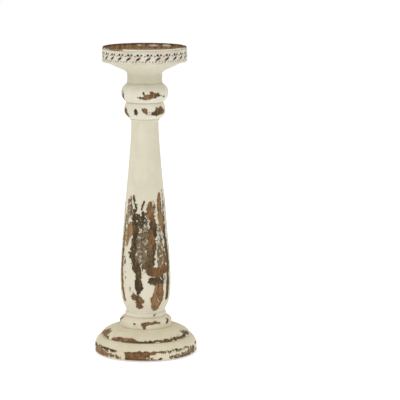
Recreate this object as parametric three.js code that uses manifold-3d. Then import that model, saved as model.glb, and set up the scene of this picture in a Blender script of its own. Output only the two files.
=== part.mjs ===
// A tall turned wooden candlestick: a round stepped base, a long baluster stem, a neck ring,
// a knop and a flared capital, glued up from separate turnings. The capital carries a shallow
// sheet-steel pan for a pillar candle, and a pierced steel strip wraps the pan and the
// capital's edge. Felt pads, a lag screw with its washer, a dowel, a wood screw and three
// pins hold it together and keep it off the table.
// Millimetres, +Z up. The origin is the centre of the underside, on the table.

import * as THREE from "three";
import { mergeVertices } from "three/addons/utils/BufferGeometryUtils.js";
import Module from "manifold-3d";

const wasm = await Module();
wasm.setup();

// ---- Driving dimensions ----

// Clearances.
const glueLine = 0.1; // between two flat faces that are glued or clamped together
const slipFit = 0.15; // radial, between a tenon, dowel or screw and its bore
const sheetGap = 0.3; // between bent sheet and what it wraps, and around the pins
const boreRelief = 1; // empty depth past the end of a tenon, dowel or screw

// Felt pads under the base.
const padCount = 4;
const padRadius = 10;
const padThickness = 1.5;
const padEdgeInset = 18; // from the plinth's side to a pad's centre

// Plinth: the lower disc of the base.
const plinthRadius = 76;
const plinthHeight = 24;
const plinthChamfer = 1;
const plinthSideHeight = 12.4;
const plinthEdgeStep = 0.6; // small nick at the top of the upright side
const ovoloEase = 3; // how far the rounded shoulder stays inside its corner

// Base cap: the domed upper disc of the base.
const capStep = 10; // the cap's edge stands this far in from the plinth's
const capHeight = 14.7;
const capSideHeight = 2.8;
const capEdgeRound = 0.8;
const domeEaseIn = 6;
const domeEaseDown = 3.9;

// Collar: the turned ring between the base and the stem.
const collarRadius = 38.5;
const collarHeight = 15.4;
const collarSideHeight = 8.4;
const collarEase = 4; // height of the shoulder's steep part

// Stem: tenon, foot bead, bulb and long taper.
const stemHeight = 295; // from its lower shoulder to its upper one
const footBeadRadius = 30.6;
const footBeadHeight = 6.6;
const footBeadRound = 1; // at the bead's lower edge
const footGrooveRadius = 28.3;
const footGrooveHeight = 2;
const bulbRadius = 37.5;
const bulbHeight = 45; // from the foot groove up to the widest place
const bulbEaseLow = 8.5;
const bulbEaseHigh = 33;
const taperTopRadius = 20.2;
const taperEaseLow = 63;
const taperEaseHigh = 56;
const stemFilletRadius = 21.6;
const stemFilletHeight = 3.5;
const tenonRadius = 13;

// Neck ring: the half-round ring above the stem.
const ringHeight = 24.2;
const ringFootRadius = 22.4;
const ringRadius = 30.6;
const ringWidestHeight = 12;
const ringTopRadius = 27;
const ringEase = 2.4; // height of the ring's flattest parts, at its foot and top

// Knop: the larger rounded turning above the neck ring.
const knopHeight = 28;
const knopFootRadius = 27.2;
const knopRadius = 34.8;
const knopWidestHeight = 14;
const knopTopRadius = 26.4;
const knopEase = 3.4; // height of the knop's flattest parts, at its foot and top

// Capital: neck, cove, flare and upright edge.
const capitalNeckRadius = 25.6;
const capitalNeckHeight = 12.5;
const capitalFootSwell = 0.6;
const coveRadius = 40; // where the cove runs into the flare
const coveHeight = 10.9;
const coveEase = 2.9; // height of the cove's last, flattest part
const flareHeight = 10.2;
const capitalEdgeHeight = 10;

// Candle pan: a spun steel dish.
const panRadius = 61.4; // outside of its wall
const panDepth = 8.8; // from its floor to its rim
const panSheet = 1.2;
const panBeadRadius = 1.1; // the rolled rim
const panBeadStart = THREE.MathUtils.degToRad(-60); // where the roll leaves the wall outside
const panBeadEnd = THREE.MathUtils.degToRad(240); // and where it meets the wall inside

// Pierced strip round the pan and the capital's edge.
const stripThickness = 0.6;
const stripHeight = 19;
const stripDrop = 1.6; // how far it hangs below the capital's edge
const motifCount = 27;
const motifHoleRadius = 1.3;
const motifSmallHoleRadius = 0.9;
const motifHolePitch = 5; // between the two round holes of one motif
const motifHoleDrop = 5.4; // from the strip's top edge to the round holes
const leafLength = 5.6;
const leafWidth = 1.9;
const leafDrop = 11; // from the strip's top edge to the middle of the leaf
const leafShift = 2; // from the middle of the motif towards its large hole
const leafTilt = THREE.MathUtils.degToRad(30);

// Pins that hold the strip to the capital.
const pinCount = 3;
const pinHeadRadius = 1.3;
const pinHeadHeight = 0.7;
const pinShankRadius = 0.6;
const pinLength = 8;
const pinHeight = 4.4; // above the lower edge of the capital's upright side

// Dowel that joins the stem, neck ring, knop and capital.
const dowelRadius = 8;
const dowelInStem = 32;
const dowelInCapital = 18;
const dowelChamfer = 1;

// Lag screw and washer that draw the stem's tenon down into the plinth.
const lagRadius = 3;
const lagLength = 34; // under the head
const lagTipLength = 5;
const lagHeadRadius = 5.8;
const lagHeadHeight = 4;
const washerRadius = 9;
const washerThickness = 1.5;
const counterboreRadius = 12;
const counterboreDepth = 8.5;
const plinthWeb = 5; // wood left between the counterbore and the mortise

// Countersunk wood screw through the middle of the pan.
const screwRadius = 1.8;
const screwHeadRadius = 3.8;
const screwHeadHeight = 2.4;
const screwTipLength = 3;
const screwSlotWidth = 0.9;
const screwSlotDepth = 0.8;
const screwWeb = 3; // wood left between the screw's hole and the dowel's bore

// Facets.
const turnedSegments = 36;
const smallSegments = 18;
const holeSegments = 6;
const stripSegments = 54;
const curveSteps = 5;

// ---- Heights of the pieces above the table ----

const plinthZ = padThickness + glueLine;
const capZ = plinthZ + plinthHeight + glueLine;
const collarZ = capZ + capHeight + glueLine;
const stemZ = collarZ + collarHeight + glueLine;
const ringZ = stemZ + stemHeight + glueLine;
const knopZ = ringZ + ringHeight + glueLine;
const capitalZ = knopZ + knopHeight + glueLine;
const flareTop = capitalNeckHeight + coveHeight + flareHeight;
const capitalHeight = flareTop + capitalEdgeHeight;
const panZ = capitalZ + capitalHeight + glueLine;
const stripZ = capitalZ + flareTop - stripDrop;

// ---- Sizes that follow from a fit ----

const tenonBore = tenonRadius + slipFit;
const dowelBore = dowelRadius + slipFit;
const lagBore = lagRadius + slipFit;
const screwBore = screwRadius + slipFit;
const pinBore = pinShankRadius + sheetGap;
const capRadius = plinthRadius - capStep;
const mortiseDepth = plinthHeight - counterboreDepth - plinthWeb;
const tenonLength = stemZ - (plinthZ + plinthHeight - mortiseDepth) - boreRelief;
const dowelBoreInCapital = dowelInCapital + boreRelief;
const stripInnerRadius = panRadius + sheetGap;
const stripRadius = stripInnerRadius + stripThickness;
const dimpleRadius = screwHeadRadius + slipFit;
const dimpleDepth = screwHeadHeight;
const screwHoleDepth = capitalHeight - dowelBoreInCapital - screwWeb;
const screwLength = screwHoleDepth + glueLine + panSheet - boreRelief; // head top to tip
const washerZ = plinthZ + counterboreDepth - glueLine - washerThickness;
const tenonEndZ = stemZ - tenonLength;
const lagPilotDepth = washerZ - glueLine + lagLength - tenonEndZ + boreRelief;
const pinZ = capitalZ + flareTop + pinHeight;
const motifPitch = 2 * Math.PI / motifCount;
const seamAngle = THREE.MathUtils.degToRad(85); // the strip's joint, between two motifs
const pinAngles = Array.from({ length: pinCount }, (_, i) => {
  const motifs = Math.round(i * motifCount / pinCount);
  return seamAngle + motifs * motifPitch;
});

// ---- Finishes ----

function finish(colour, roughness, metalness) {
  return () => new THREE.MeshStandardMaterial({ color: colour, roughness, metalness });
}

const paintedWood = finish(0xded6be, 0.75, 0);
const paintedSteel = finish(0xdcd7c6, 0.6, 0.2);
const brownSteel = finish(0x7a5236, 0.55, 0.5);
const bareWood = finish(0xa77b4f, 0.7, 0);
const zincSteel = finish(0xb4b6b5, 0.35, 0.9);
const felt = finish(0x3a342c, 0.95, 0);

// ---- Helpers ----

// Spins an outline of radius and height about the Z axis.
function turned(outline, segments = turnedSegments) {
  const geometry = new THREE.LatheGeometry(outline.getPoints(curveSteps), segments);
  return geometry.rotateX(Math.PI / 2);
}

function solidOf(geometry) {
  const bare = geometry.clone();
  bare.deleteAttribute("normal");
  bare.deleteAttribute("uv");
  const merged = mergeVertices(bare, 1e-5);
  const vertProperties = new Float32Array(merged.attributes.position.array);
  const corners = merged.index.array;
  const triVerts = [];
  for (let i = 0; i < corners.length; i += 3) {
    const [a, b, c] = [corners[i], corners[i + 1], corners[i + 2]];
    if (a !== b && b !== c && c !== a) triVerts.push(a, b, c);
  }
  const mesh = new wasm.Mesh({ numProp: 3, vertProperties, triVerts: new Uint32Array(triVerts) });
  return new wasm.Manifold(mesh);
}

function geometryOf(solid) {
  const mesh = solid.getMesh();
  const geometry = new THREE.BufferGeometry();
  geometry.setAttribute("position", new THREE.BufferAttribute(mesh.vertProperties, 3));
  geometry.setIndex(new THREE.BufferAttribute(mesh.triVerts, 1));
  geometry.computeVertexNormals();
  return geometry;
}

function cut(geometry, tools) {
  let solid = solidOf(geometry);
  for (const tool of tools) {
    solid = solid.subtract(solidOf(tool));
  }
  return geometryOf(solid);
}

function join(geometry, other) {
  return geometryOf(solidOf(geometry).add(solidOf(other)));
}

// Moves a geometry that points along +Z at the origin to a place on a cylinder about the
// Z axis, pointing straight out of it.
function placeOnSide(geometry, radius, angle, height) {
  const place = new THREE.Matrix4().makeRotationZ(angle);
  place.multiply(new THREE.Matrix4().makeTranslation(radius, 0, height));
  place.multiply(new THREE.Matrix4().makeRotationY(Math.PI / 2));
  return geometry.applyMatrix4(place);
}

// A round cutter along Z, centred on the origin.
function drill(radius, length, segments = holeSegments) {
  return new THREE.CylinderGeometry(radius, radius, length, segments).rotateX(Math.PI / 2);
}

// ---- Turned wood ----

function plinth() {
  const mortiseFloor = plinthHeight - mortiseDepth;
  const sideTop = plinthSideHeight + plinthEdgeStep;
  const shoulderRadius = plinthRadius - plinthEdgeStep;
  const outline = new THREE.Path();
  outline.moveTo(counterboreRadius, 0);
  outline.lineTo(plinthRadius - plinthChamfer, 0);
  outline.lineTo(plinthRadius, plinthChamfer);
  outline.lineTo(plinthRadius, plinthSideHeight);
  outline.lineTo(shoulderRadius, sideTop);
  outline.quadraticCurveTo(
    shoulderRadius - ovoloEase, plinthHeight - ovoloEase,
    capRadius + plinthEdgeStep, plinthHeight,
  );
  outline.lineTo(tenonBore, plinthHeight);
  outline.lineTo(tenonBore, mortiseFloor);
  outline.lineTo(lagBore, mortiseFloor);
  outline.lineTo(lagBore, counterboreDepth);
  outline.lineTo(counterboreRadius, counterboreDepth);
  outline.lineTo(counterboreRadius, 0);
  return turned(outline);
}

function baseCap() {
  const outline = new THREE.Path();
  outline.moveTo(tenonBore, 0);
  outline.lineTo(capRadius, 0);
  outline.lineTo(capRadius, capSideHeight);
  outline.lineTo(capRadius - capEdgeRound, capSideHeight + capEdgeRound);
  outline.quadraticCurveTo(
    capRadius - domeEaseIn, capHeight - domeEaseDown,
    collarRadius + capEdgeRound, capHeight,
  );
  outline.lineTo(tenonBore, capHeight);
  outline.lineTo(tenonBore, 0);
  return turned(outline);
}

function collar() {
  const outline = new THREE.Path();
  outline.moveTo(tenonBore, 0);
  outline.lineTo(collarRadius, 0);
  outline.lineTo(collarRadius, collarSideHeight);
  outline.quadraticCurveTo(
    collarRadius, collarHeight - collarEase,
    footBeadRadius, collarHeight,
  );
  outline.lineTo(tenonBore, collarHeight);
  outline.lineTo(tenonBore, 0);
  return turned(outline);
}

function stem() {
  const bulbZ = footBeadHeight + footGrooveHeight;
  const widestZ = bulbZ + bulbHeight;
  const filletZ = stemHeight - stemFilletHeight;
  const outline = new THREE.Path();
  outline.moveTo(0, -tenonLength + lagPilotDepth);
  outline.lineTo(lagBore, -tenonLength + lagPilotDepth);
  outline.lineTo(lagBore, -tenonLength);
  outline.lineTo(tenonRadius - dowelChamfer, -tenonLength);
  outline.lineTo(tenonRadius, -tenonLength + dowelChamfer);
  outline.lineTo(tenonRadius, 0);
  outline.lineTo(footBeadRadius - footBeadRound, 0);
  outline.lineTo(footBeadRadius, footBeadRound);
  outline.lineTo(footBeadRadius, footBeadHeight / 2);
  outline.quadraticCurveTo(
    footBeadRadius, footBeadHeight,
    footGrooveRadius, footBeadHeight,
  );
  outline.lineTo(footGrooveRadius, bulbZ);
  outline.bezierCurveTo(
    footGrooveRadius + bulbEaseLow / 2, bulbZ + bulbEaseLow,
    bulbRadius, widestZ - bulbEaseHigh,
    bulbRadius, widestZ,
  );
  outline.bezierCurveTo(
    bulbRadius, widestZ + taperEaseLow,
    taperTopRadius, filletZ - taperEaseHigh,
    taperTopRadius, filletZ,
  );
  outline.lineTo(stemFilletRadius, filletZ + stemFilletRadius - taperTopRadius);
  outline.lineTo(stemFilletRadius, stemHeight);
  outline.lineTo(dowelBore, stemHeight);
  outline.lineTo(dowelBore, stemHeight - dowelInStem - boreRelief);
  outline.lineTo(0, stemHeight - dowelInStem - boreRelief);
  return turned(outline);
}

// A rounded ring with a bore for the dowel, widest at a height of its own.
function roundedRing({ height, footRadius, radius, widestHeight, topRadius, ease }) {
  const outline = new THREE.Path();
  outline.moveTo(dowelBore, 0);
  outline.lineTo(footRadius, 0);
  outline.bezierCurveTo(
    (footRadius + radius) / 2, ease,
    radius, widestHeight / 2,
    radius, widestHeight,
  );
  outline.bezierCurveTo(
    radius, (widestHeight + height) / 2,
    (radius + topRadius) / 2, height - ease,
    topRadius, height,
  );
  outline.lineTo(dowelBore, height);
  outline.lineTo(dowelBore, 0);
  return turned(outline);
}

function neckRing() {
  return roundedRing({
    height: ringHeight,
    footRadius: ringFootRadius,
    radius: ringRadius,
    widestHeight: ringWidestHeight,
    topRadius: ringTopRadius,
    ease: ringEase,
  });
}

function knop() {
  return roundedRing({
    height: knopHeight,
    footRadius: knopFootRadius,
    radius: knopRadius,
    widestHeight: knopWidestHeight,
    topRadius: knopTopRadius,
    ease: knopEase,
  });
}

function capital() {
  const flareZ = capitalNeckHeight + coveHeight;
  const edgeRadius = stripInnerRadius - sheetGap;
  const outline = new THREE.Path();
  outline.moveTo(0, dowelBoreInCapital);
  outline.lineTo(dowelBore, dowelBoreInCapital);
  outline.lineTo(dowelBore, 0);
  outline.lineTo(capitalNeckRadius + capitalFootSwell, 0);
  outline.quadraticCurveTo(
    capitalNeckRadius, capitalNeckHeight / 2,
    capitalNeckRadius, capitalNeckHeight,
  );
  outline.bezierCurveTo(
    capitalNeckRadius, capitalNeckHeight + coveHeight / 2,
    (capitalNeckRadius + coveRadius) / 2, flareZ - coveEase,
    coveRadius, flareZ,
  );
  outline.lineTo(edgeRadius, flareTop);
  outline.lineTo(edgeRadius, capitalHeight);
  outline.lineTo(dimpleRadius + panSheet + sheetGap, capitalHeight);
  outline.lineTo(screwBore + panSheet, capitalHeight - dimpleDepth - panSheet);
  outline.lineTo(screwBore, capitalHeight - dimpleDepth - panSheet);
  outline.lineTo(screwBore, capitalHeight - screwHoleDepth);
  outline.lineTo(0, capitalHeight - screwHoleDepth);
  const pinHoles = pinAngles.map((angle) => {
    const hole = drill(pinBore, 2 * (pinLength + boreRelief));
    return placeOnSide(hole, edgeRadius, angle, pinZ - capitalZ);
  });
  return cut(turned(outline), pinHoles);
}

// ---- Sheet steel ----

function pan() {
  const rim = panSheet + panDepth;
  const wallInner = panRadius - panSheet;
  const beadZ = rim - panBeadRadius;
  const beadCentre = panRadius - panSheet / 2;
  const outline = new THREE.Path();
  outline.moveTo(screwBore, -dimpleDepth);
  outline.lineTo(dimpleRadius + panSheet, 0);
  outline.lineTo(wallInner, 0);
  outline.quadraticCurveTo(panRadius, 0, panRadius, panSheet);
  outline.lineTo(panRadius, beadZ - panBeadRadius);
  outline.absarc(beadCentre, beadZ, panBeadRadius, panBeadStart, panBeadEnd, false);
  outline.lineTo(wallInner, 2 * panSheet);
  outline.quadraticCurveTo(wallInner, panSheet, wallInner - panSheet, panSheet);
  outline.lineTo(dimpleRadius, panSheet);
  outline.lineTo(screwBore, panSheet - dimpleDepth);
  outline.lineTo(screwBore, -dimpleDepth);
  return turned(outline);
}

// One motif of the strip: a large and a small round hole over a slanted leaf.
function motifCutters(angle) {
  const through = stripThickness + 4 * sheetGap; // reaches past both faces of the strip
  const top = stripZ + stripHeight;
  const swing = motifHolePitch / 2 / stripRadius;
  const leafSwing = leafShift / stripRadius;
  const large = drill(motifHoleRadius, through);
  const small = drill(motifSmallHoleRadius, through);
  const leaf = drill(leafWidth / 2, through);
  leaf.scale(1, leafLength / leafWidth, 1);
  leaf.rotateZ(leafTilt);
  return [
    placeOnSide(large, stripRadius, angle - swing, top - motifHoleDrop),
    placeOnSide(small, stripRadius, angle + swing, top - motifHoleDrop),
    placeOnSide(leaf, stripRadius, angle - leafSwing, top - leafDrop),
  ];
}

function galleryStrip() {
  const outline = new THREE.Path();
  outline.moveTo(stripInnerRadius, stripZ);
  outline.lineTo(stripRadius, stripZ);
  outline.lineTo(stripRadius, stripZ + stripHeight);
  outline.lineTo(stripInnerRadius, stripZ + stripHeight);
  outline.lineTo(stripInnerRadius, stripZ);
  const cutters = [];
  for (let i = 0; i < motifCount; i += 1) {
    cutters.push(...motifCutters(seamAngle + (i + 0.5) * motifPitch));
  }
  for (const angle of pinAngles) {
    const hole = drill(pinBore, pinLength);
    cutters.push(placeOnSide(hole, stripRadius, angle, pinZ));
  }
  return cut(turned(outline, stripSegments), cutters);
}

// ---- Fixings ----

function dowel() {
  const length = dowelInStem + ringHeight + knopHeight + 3 * glueLine + dowelInCapital;
  const outline = new THREE.Path();
  outline.moveTo(0, 0);
  outline.lineTo(dowelRadius - dowelChamfer, 0);
  outline.lineTo(dowelRadius, dowelChamfer);
  outline.lineTo(dowelRadius, length - dowelChamfer);
  outline.lineTo(dowelRadius - dowelChamfer, length);
  outline.lineTo(0, length);
  return turned(outline, smallSegments);
}

// The screw's origin is the flat of its head, and it points down.
function panScrew() {
  const outline = new THREE.Path();
  outline.moveTo(0, -screwLength);
  outline.lineTo(screwRadius, -screwLength + screwTipLength);
  outline.lineTo(screwRadius, -screwHeadHeight);
  outline.lineTo(screwHeadRadius, 0);
  outline.lineTo(0, 0);
  const slot = new THREE.BoxGeometry(4 * screwHeadRadius, screwSlotWidth, 2 * screwSlotDepth);
  return cut(turned(outline, smallSegments), [slot]);
}

// The lag screw's origin is the underside of its washer face, and it points up.
function lagScrew() {
  const outline = new THREE.Path();
  outline.moveTo(0, -lagHeadHeight / 2);
  outline.lineTo(lagRadius, -lagHeadHeight / 2);
  outline.lineTo(lagRadius, lagLength - lagTipLength);
  outline.lineTo(0, lagLength);
  const head = new THREE.CylinderGeometry(lagHeadRadius, lagHeadRadius, lagHeadHeight, 6);
  head.rotateX(Math.PI / 2);
  head.translate(0, 0, -lagHeadHeight / 2);
  return join(turned(outline, smallSegments), head);
}

function washer() {
  const outline = new THREE.Path();
  outline.moveTo(lagBore, 0);
  outline.lineTo(washerRadius, 0);
  outline.lineTo(washerRadius, washerThickness);
  outline.lineTo(lagBore, washerThickness);
  outline.lineTo(lagBore, 0);
  return turned(outline, smallSegments);
}

function feltPad() {
  const pad = new THREE.CylinderGeometry(padRadius, padRadius, padThickness, smallSegments);
  pad.rotateX(Math.PI / 2);
  return pad.translate(0, 0, padThickness / 2);
}

// The pin's origin is the underside of its head, and it points back along -Z.
function pin() {
  const outline = new THREE.Path();
  outline.moveTo(0, -pinLength);
  outline.lineTo(pinShankRadius, -pinLength + boreRelief);
  outline.lineTo(pinShankRadius, 0);
  outline.lineTo(pinHeadRadius, 0);
  outline.quadraticCurveTo(pinHeadRadius, pinHeadHeight, 0, pinHeadHeight);
  return turned(outline, holeSegments);
}

// ---- Assembly ----

const candlestick = new THREE.Group();

function add(name, geometry, material, height = 0) {
  const mesh = new THREE.Mesh(geometry, material());
  mesh.name = name;
  mesh.position.z = height;
  candlestick.add(mesh);
  return mesh;
}

add("plinth", plinth(), paintedWood, plinthZ);
add("base_cap", baseCap(), paintedWood, capZ);
add("collar", collar(), paintedWood, collarZ);
add("stem", stem(), paintedWood, stemZ);
add("neck_ring", neckRing(), paintedWood, ringZ);
add("knop", knop(), paintedWood, knopZ);
add("capital", capital(), paintedWood, capitalZ);
add("top_dowel", dowel(), bareWood, ringZ - glueLine - dowelInStem);
add("pan", pan(), brownSteel, panZ);
add("gallery_strip", galleryStrip(), paintedSteel);
add("pan_screw", panScrew(), zincSteel, panZ + panSheet + glueLine);
add("base_washer", washer(), zincSteel, washerZ);
add("base_screw", lagScrew(), zincSteel, washerZ - glueLine);

for (let i = 0; i < padCount; i += 1) {
  const angle = (i + 0.5) * (2 * Math.PI / padCount);
  const pad = add("foot_pad_" + (i + 1), feltPad(), felt);
  pad.position.x = (plinthRadius - padEdgeInset) * Math.cos(angle);
  pad.position.y = (plinthRadius - padEdgeInset) * Math.sin(angle);
}

pinAngles.forEach((angle, i) => {
  const geometry = placeOnSide(pin(), stripRadius + sheetGap, angle, pinZ);
  add("strip_pin_" + (i + 1), geometry, paintedSteel);
});

export default candlestick;
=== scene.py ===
import math

import bmesh
import bpy
import numpy as np
from mathutils import Matrix, Vector, noise
from mathutils.geometry import interpolate_bezier


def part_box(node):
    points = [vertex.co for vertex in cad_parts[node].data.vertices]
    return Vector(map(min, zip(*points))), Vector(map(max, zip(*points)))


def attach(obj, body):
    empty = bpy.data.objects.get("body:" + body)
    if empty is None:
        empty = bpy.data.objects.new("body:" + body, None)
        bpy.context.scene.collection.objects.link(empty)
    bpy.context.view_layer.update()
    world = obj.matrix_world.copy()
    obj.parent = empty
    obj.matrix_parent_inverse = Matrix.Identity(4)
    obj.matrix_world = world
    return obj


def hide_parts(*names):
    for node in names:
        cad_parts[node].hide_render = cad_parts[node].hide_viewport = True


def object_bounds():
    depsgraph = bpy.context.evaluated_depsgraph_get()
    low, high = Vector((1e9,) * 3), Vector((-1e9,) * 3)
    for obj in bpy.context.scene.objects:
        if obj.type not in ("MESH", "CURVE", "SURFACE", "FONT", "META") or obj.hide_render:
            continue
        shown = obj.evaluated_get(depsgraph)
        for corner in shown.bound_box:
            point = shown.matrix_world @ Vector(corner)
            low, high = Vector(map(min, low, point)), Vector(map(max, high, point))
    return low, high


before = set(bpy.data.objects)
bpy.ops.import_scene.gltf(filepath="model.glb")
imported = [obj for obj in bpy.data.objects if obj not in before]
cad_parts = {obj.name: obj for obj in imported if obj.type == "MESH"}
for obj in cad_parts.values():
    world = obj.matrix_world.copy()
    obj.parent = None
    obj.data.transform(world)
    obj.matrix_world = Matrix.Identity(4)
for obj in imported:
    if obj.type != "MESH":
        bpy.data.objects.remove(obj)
cad_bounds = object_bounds()

# ---- Studio ----
# A plain white sweep under an even, soft light tent, with a strong soft box on the left of the
# camera and a weak one on its right. The camera stands 3 m back and a little above the
# candlestick, and looks past its right side.

mm = 0.001


def finished(bm, name, material, smooth=True):
    """Turns a finished bmesh into an object in the scene."""
    mesh = bpy.data.meshes.new(name)
    bm.to_mesh(mesh)
    bm.free()
    piece = bpy.data.objects.new(name, mesh)
    bpy.context.scene.collection.objects.link(piece)
    mesh.materials.append(material)
    if smooth:
        mesh.shade_smooth()
    else:
        mesh.shade_flat()
    return piece


class Signal:
    """A shader socket in a Python expression: arithmetic on it adds Math nodes."""

    def __init__(self, tree, socket=None):
        self.tree = tree
        self.socket = socket

    def node(self, kind, settings=None, inputs=None, output=0):
        """Adds any other node: its settings first, then the values or links of its sockets."""
        made = self.tree.nodes.new(kind)
        for name, value in (settings or {}).items():
            if name == "stops":
                set_stops(made.color_ramp, value)
            else:
                setattr(made, name, value)
        for name, value in (inputs or {}).items():
            if isinstance(value, Signal):
                self.tree.links.new(value.socket, made.inputs[name])
            else:
                made.inputs[name].default_value = value
        return Signal(self.tree, made.outputs[output])

    def mottled(self, place, wavelength, **settings):
        """Noise from 0 to 1 whose largest patches are about a wavelength across."""
        settings = {"Vector": place, "Scale": 1 / wavelength, **settings}
        return self.node("ShaderNodeTexNoise", inputs=settings)

    def maths(self, operation, *values):
        return self.node("ShaderNodeMath", {"operation": operation}, dict(enumerate(values)))

    def __add__(self, other):
        return self.maths("ADD", self, other)

    def __sub__(self, other):
        return self.maths("SUBTRACT", self, other)

    def __rsub__(self, other):
        return self.maths("SUBTRACT", other, self)

    def __mul__(self, other):
        return self.maths("MULTIPLY", self, other)

    __radd__ = __add__
    __rmul__ = __mul__

    def clipped(self):
        settings = {"operation": "ADD", "use_clamp": True}
        return self.node("ShaderNodeMath", settings, {0: self, 1: 0.0})

    def mixed(self, low, high):
        """Goes from the colour low to the colour high as this signal goes from 0 to 1."""
        settings = {"data_type": "RGBA"}
        return self.node("ShaderNodeMix", settings, {0: self, 6: low, 7: high}, output=2)


def set_stops(ramp, stops):
    while len(ramp.elements) < len(stops):
        ramp.elements.new(0.5)
    for element, (place, colour) in zip(ramp.elements, stops):
        element.position = place
        element.color = colour


def colour(red, green, blue):
    return (red, green, blue, 1.0)


def new_material(name):
    """A material with its start signal and its surface shader."""
    material = bpy.data.materials.new(name)
    material.use_nodes = True
    shader = material.node_tree.nodes["Principled BSDF"]
    return material, Signal(material.node_tree), shader


def feed(shader, socket, signal):
    shader.id_data.links.new(signal.socket, shader.inputs[socket])


scene = bpy.context.scene
scene.view_settings.view_transform = "Standard"

camera_distance = 3.0
camera_height = 0.719
camera_aside = 0.0813
camera_pitch = math.radians(9.28)
camera_data = bpy.data.cameras.new("studio_camera")
camera_data.sensor_width = 36
camera_data.lens = 184.4
camera = bpy.data.objects.new("studio_camera", camera_data)
camera.location = (camera_aside, -camera_distance, camera_height)
camera.rotation_euler = (math.pi / 2 - camera_pitch, 0, 0)
scene.collection.objects.link(camera)
scene.camera = camera

tent = bpy.data.worlds.new("light_tent")
tent.use_nodes = True
tent_glow = tent.node_tree.nodes["Background"]
tent_glow.inputs["Color"].default_value = colour(1.0, 1.0, 1.0)
tent_light = 0.7
seen_directly = Signal(tent.node_tree).node("ShaderNodeLightPath", output="Is Camera Ray")
feed(tent_glow, "Strength", tent_light + seen_directly * (1 - tent_light))
scene.world = tent

lamp_forward = 1.7
lamp_height = 2.6
for side, power, size in ((-1.5, 17, 1.6), (1.7, 7, 1.4)):
    lamp_data = bpy.data.lights.new("soft_box", "AREA")
    lamp_data.energy = power
    lamp_data.size = size
    lamp = bpy.data.objects.new("soft_box", lamp_data)
    lamp.location = (side, -lamp_forward, lamp_height)
    aim = Vector((0, 0, cad_bounds[1].z / 2)) - lamp.location
    lamp.rotation_euler = aim.to_track_quat("-Z", "Y").to_euler()
    scene.collection.objects.link(lamp)

sweep_half_width = 4.0
sweep_paper, _, sweep_shader = new_material("sweep_paper")
sweep_shader.inputs["Base Color"].default_value = colour(0.86, 0.86, 0.86)
sweep_shader.inputs["Roughness"].default_value = 0.9
sweep_shader.inputs["Specular IOR Level"].default_value = 0.1
sweep_shader.inputs["Emission Color"].default_value = colour(1.0, 1.0, 1.0)
sweep_shader.inputs["Emission Strength"].default_value = 0.5
bm = bmesh.new()
bmesh.ops.create_grid(bm, x_segments=1, y_segments=1, size=sweep_half_width)
floor = finished(bm, "floor", sweep_paper)

# ---- Plinth ----
# The lower disc of the base, turned from flat-grained boards glued edge to edge. Its side is
# upright and its shoulder rounded. It is primed dark, painted cream, then rubbed and chipped.


def line(start, end, spacing=1.2 * mm):
    """Points from start to end in radius and height, without the first, close enough to carve."""
    steps = max(1, round(math.dist(start, end) / spacing))
    start, end = Vector(start), Vector(end)
    return [tuple(start.lerp(end, (i + 1) / steps)) for i in range(steps)]


def bend(start, handle, other_handle, end, spacing=1.2 * mm):
    """Points along a curve from start to end, without the first."""
    steps = max(3, round(math.dist(start, end) / spacing))
    knots = [Vector((*point, 0)) for point in (start, handle, other_handle, end)]
    return [(p.x, p.y) for p in interpolate_bezier(*knots, steps + 1)][1:]


def turned(outline, columns):
    """Spins an outline of radius and height about the Z axis into a closed solid."""
    bm = bmesh.new()
    points = [bm.verts.new((radius, 0, height)) for radius, height in outline]
    edges = [bm.edges.new(pair) for pair in zip(points, points[1:])]
    bmesh.ops.spin(
        bm, geom=points + edges, cent=(0, 0, 0), axis=(0, 0, 1), dvec=(0, 0, 0),
        angle=math.tau, steps=columns, use_merge=True, use_duplicate=False,
    )
    bmesh.ops.remove_doubles(bm, verts=bm.verts, dist=0.01 * mm)
    bmesh.ops.recalc_face_normals(bm, faces=bm.faces)
    return bm


def fractal(points, wavelength, octaves=3):
    """Smooth noise of about -1 to 1 at each point, seeded by place alone."""
    scaled = points / wavelength
    return np.array([noise.fractal(p, 1.0, 2.0, octaves) for p in scaled.tolist()])


def mark(tone, points, flecks=0.0, sparse=0.0):
    """A scraped or knocked place, as a stroke through points of angle from the front, height and
    half width, in degrees and millimetres. Tone goes from 0, pale sanded wood, through brown
    wood, to 1, black primer. Flecks of the other finish break it up, and sparse thins it out."""
    if len(points) == 1:
        points = points * 2
    return tone, flecks, sparse, points


def coverage(places, marks):
    """How far inside the nearest mark each place is, in millimetres, with that mark's tone and
    flecks."""
    radius = np.hypot(places[:, 0], places[:, 1]) / mm
    angle = np.degrees(np.arctan2(places[:, 0], -places[:, 1]))
    height = places[:, 2] / mm
    far_outside = -9.0
    depth = np.full(len(places), far_outside)
    weight = np.full(len(places), 1e-9)
    tone = weight * 0.5
    fleck = weight * 0.0
    for mark_tone, mark_fleck, sparse, points in marks:
        inside = np.full(len(places), far_outside)
        for start, end in zip(points, points[1:]):
            start_turn = (start[0] - angle + 180) % 360 - 180
            across = np.radians(start_turn) * radius
            up = start[1] - height
            span = np.radians(end[0] - start[0]) * radius
            rise = end[1] - start[1]
            along = np.clip(-(across * span + up * rise) / (span**2 + rise**2 + 1e-6), 0, 1)
            away = np.hypot(across + along * span, up + along * rise)
            half_width = start[2] + along * (end[2] - start[2])
            inside = np.maximum(inside, half_width - away)
        inside -= sparse
        depth = np.maximum(depth, inside)
        share = np.exp(1.5 * np.clip(inside, far_outside, 5))
        weight += share
        tone += share * mark_tone
        fleck += share * mark_fleck
    return depth, tone / weight, fleck / weight


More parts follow.
